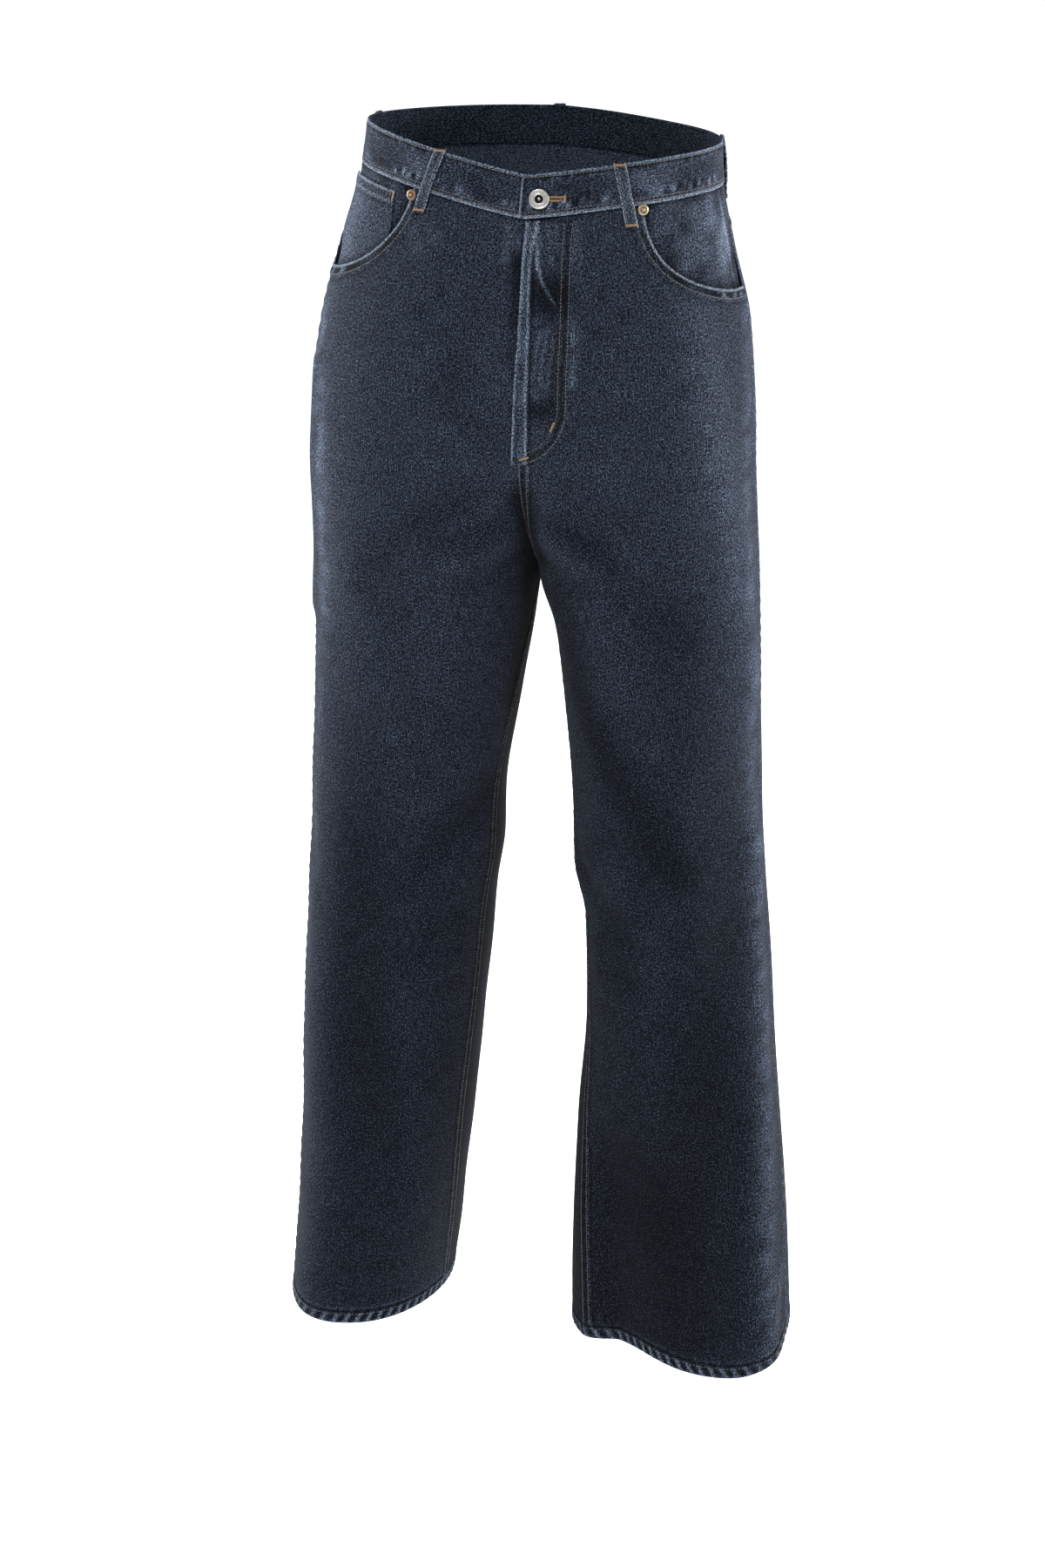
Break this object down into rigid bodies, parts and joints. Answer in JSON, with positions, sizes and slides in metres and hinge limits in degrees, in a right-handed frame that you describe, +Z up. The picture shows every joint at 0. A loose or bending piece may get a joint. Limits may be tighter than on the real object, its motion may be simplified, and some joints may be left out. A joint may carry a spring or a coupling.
{
  "type": "wide leg jeans",
  "caption": "Wide leg denim jeans with a button fly, scoop hip pockets, a coin pocket, patch back pockets, belt loops and turned hems, filled out as when worn.",
  "frame": {"origin": "centre of the waist opening, where a wearer holds the garment up", "axes": "+Z up, the front faces -Y, the wearer's left is +X"},
  "size_m": [0.4903, 0.2923, 1.1344],
  "materials": {
    "denim": "twill weave",
    "denim_worn": "worn twill weave",
    "nickel": "satin nickel",
    "copper": "aged copper"
  },
  "bodies": {
    "root": {"front_right": "denim", "front_left": "denim", "back_right": "denim", "back_left": "denim", "yoke_right": "denim", "yoke_left": "denim", "pocket_facing_right": "denim", "pocket_facing_left": "denim", "coin_pocket": "denim", "fly_placket": "denim", "back_pocket_right": "denim", "back_pocket_left": "denim", "hem_right": "denim_worn", "hem_left": "denim_worn", "waistband": "denim_worn", "belt_loop_front_right": "denim_worn", "belt_loop_front_left": "denim_worn", "belt_loop_side_right": "denim_worn", "belt_loop_side_left": "denim_worn", "belt_loop_back": "denim_worn", "waist_button": "nickel", "rivet_right": "copper", "rivet_left": "copper"}
  },
  "joints": []
}
